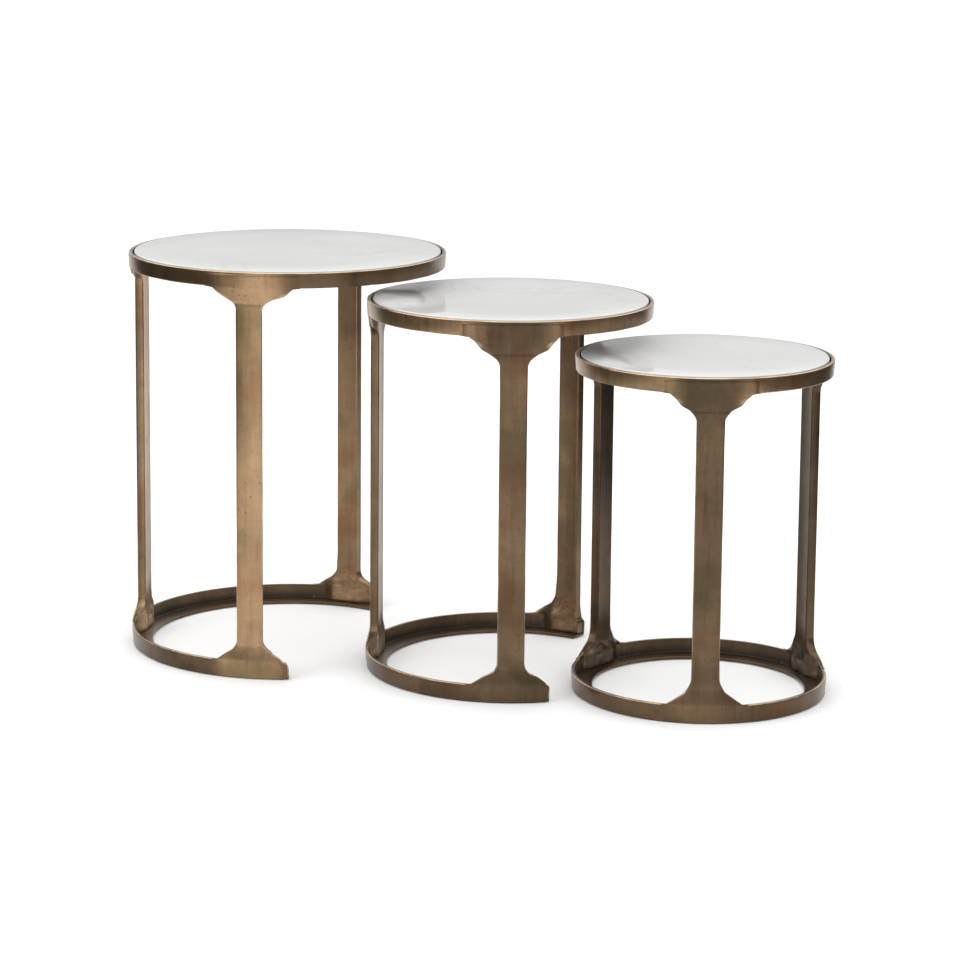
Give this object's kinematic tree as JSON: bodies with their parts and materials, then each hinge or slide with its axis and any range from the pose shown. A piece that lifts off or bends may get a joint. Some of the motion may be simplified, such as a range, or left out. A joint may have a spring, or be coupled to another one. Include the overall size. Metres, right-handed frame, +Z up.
{
  "type": "nesting tables",
  "caption": "Round nesting side tables: marble tops set in cast brass-finish rings on three flared legs, with open base rings so the smaller ones slide in.",
  "frame": {"origin": "on the floor, under the middle of the set's bounding box as it stands", "axes": "+Z up out of the marble tops, -Y to the front, +X to the right, from the large table towards the small one"},
  "size_m": [1.0362, 0.6972, 0.605],
  "materials": {
    "antique_brass": "cast aluminium with a mottled antique brass patina, satin",
    "white_marble": "white marble, honed and polished, with faint grey veins",
    "clear_silicone": "milky clear silicone",
    "brown_felt": "pressed felt"
  },
  "bodies": {
    "large_table": {"large_top_ring": "antique_brass", "large_marble_top": "white_marble", "large_base_ring": "antique_brass", "large_leg_front": "antique_brass", "large_leg_left": "antique_brass", "large_leg_rear": "antique_brass", "large_marble_bumper_1": "clear_silicone", "large_marble_bumper_2": "clear_silicone", "large_marble_bumper_3": "clear_silicone", "large_marble_bumper_4": "clear_silicone", "large_floor_glide_1": "brown_felt", "large_floor_glide_2": "brown_felt", "large_floor_glide_3": "brown_felt", "large_floor_glide_4": "brown_felt"},
    "medium_table": {"medium_top_ring": "antique_brass", "medium_marble_top": "white_marble", "medium_base_ring": "antique_brass", "medium_leg_front": "antique_brass", "medium_leg_left": "antique_brass", "medium_leg_rear": "antique_brass", "medium_marble_bumper_1": "clear_silicone", "medium_marble_bumper_2": "clear_silicone", "medium_marble_bumper_3": "clear_silicone", "medium_marble_bumper_4": "clear_silicone", "medium_floor_glide_1": "brown_felt", "medium_floor_glide_2": "brown_felt", "medium_floor_glide_3": "brown_felt", "medium_floor_glide_4": "brown_felt"},
    "small_table": {"small_top_ring": "antique_brass", "small_marble_top": "white_marble", "small_base_ring": "antique_brass", "small_leg_front": "antique_brass", "small_leg_left": "antique_brass", "small_leg_rear": "antique_brass", "small_marble_bumper_1": "clear_silicone", "small_marble_bumper_2": "clear_silicone", "small_marble_bumper_3": "clear_silicone", "small_marble_bumper_4": "clear_silicone", "small_floor_glide_1": "brown_felt", "small_floor_glide_2": "brown_felt", "small_floor_glide_3": "brown_felt", "small_floor_glide_4": "brown_felt"}
  },
  "joints": [
    {"name": "medium_slides_in", "type": "slide", "parent": "large_table", "child": "medium_table", "axis": [-0.9085, 0.4166, 0.0329], "range_m": [0, 0.3646]},
    {"name": "small_slides_in", "type": "slide", "parent": "medium_table", "child": "small_table", "axis": [-0.7993, 0.5976, 0.0634], "range_m": [0, 0.1577]}
  ]
}
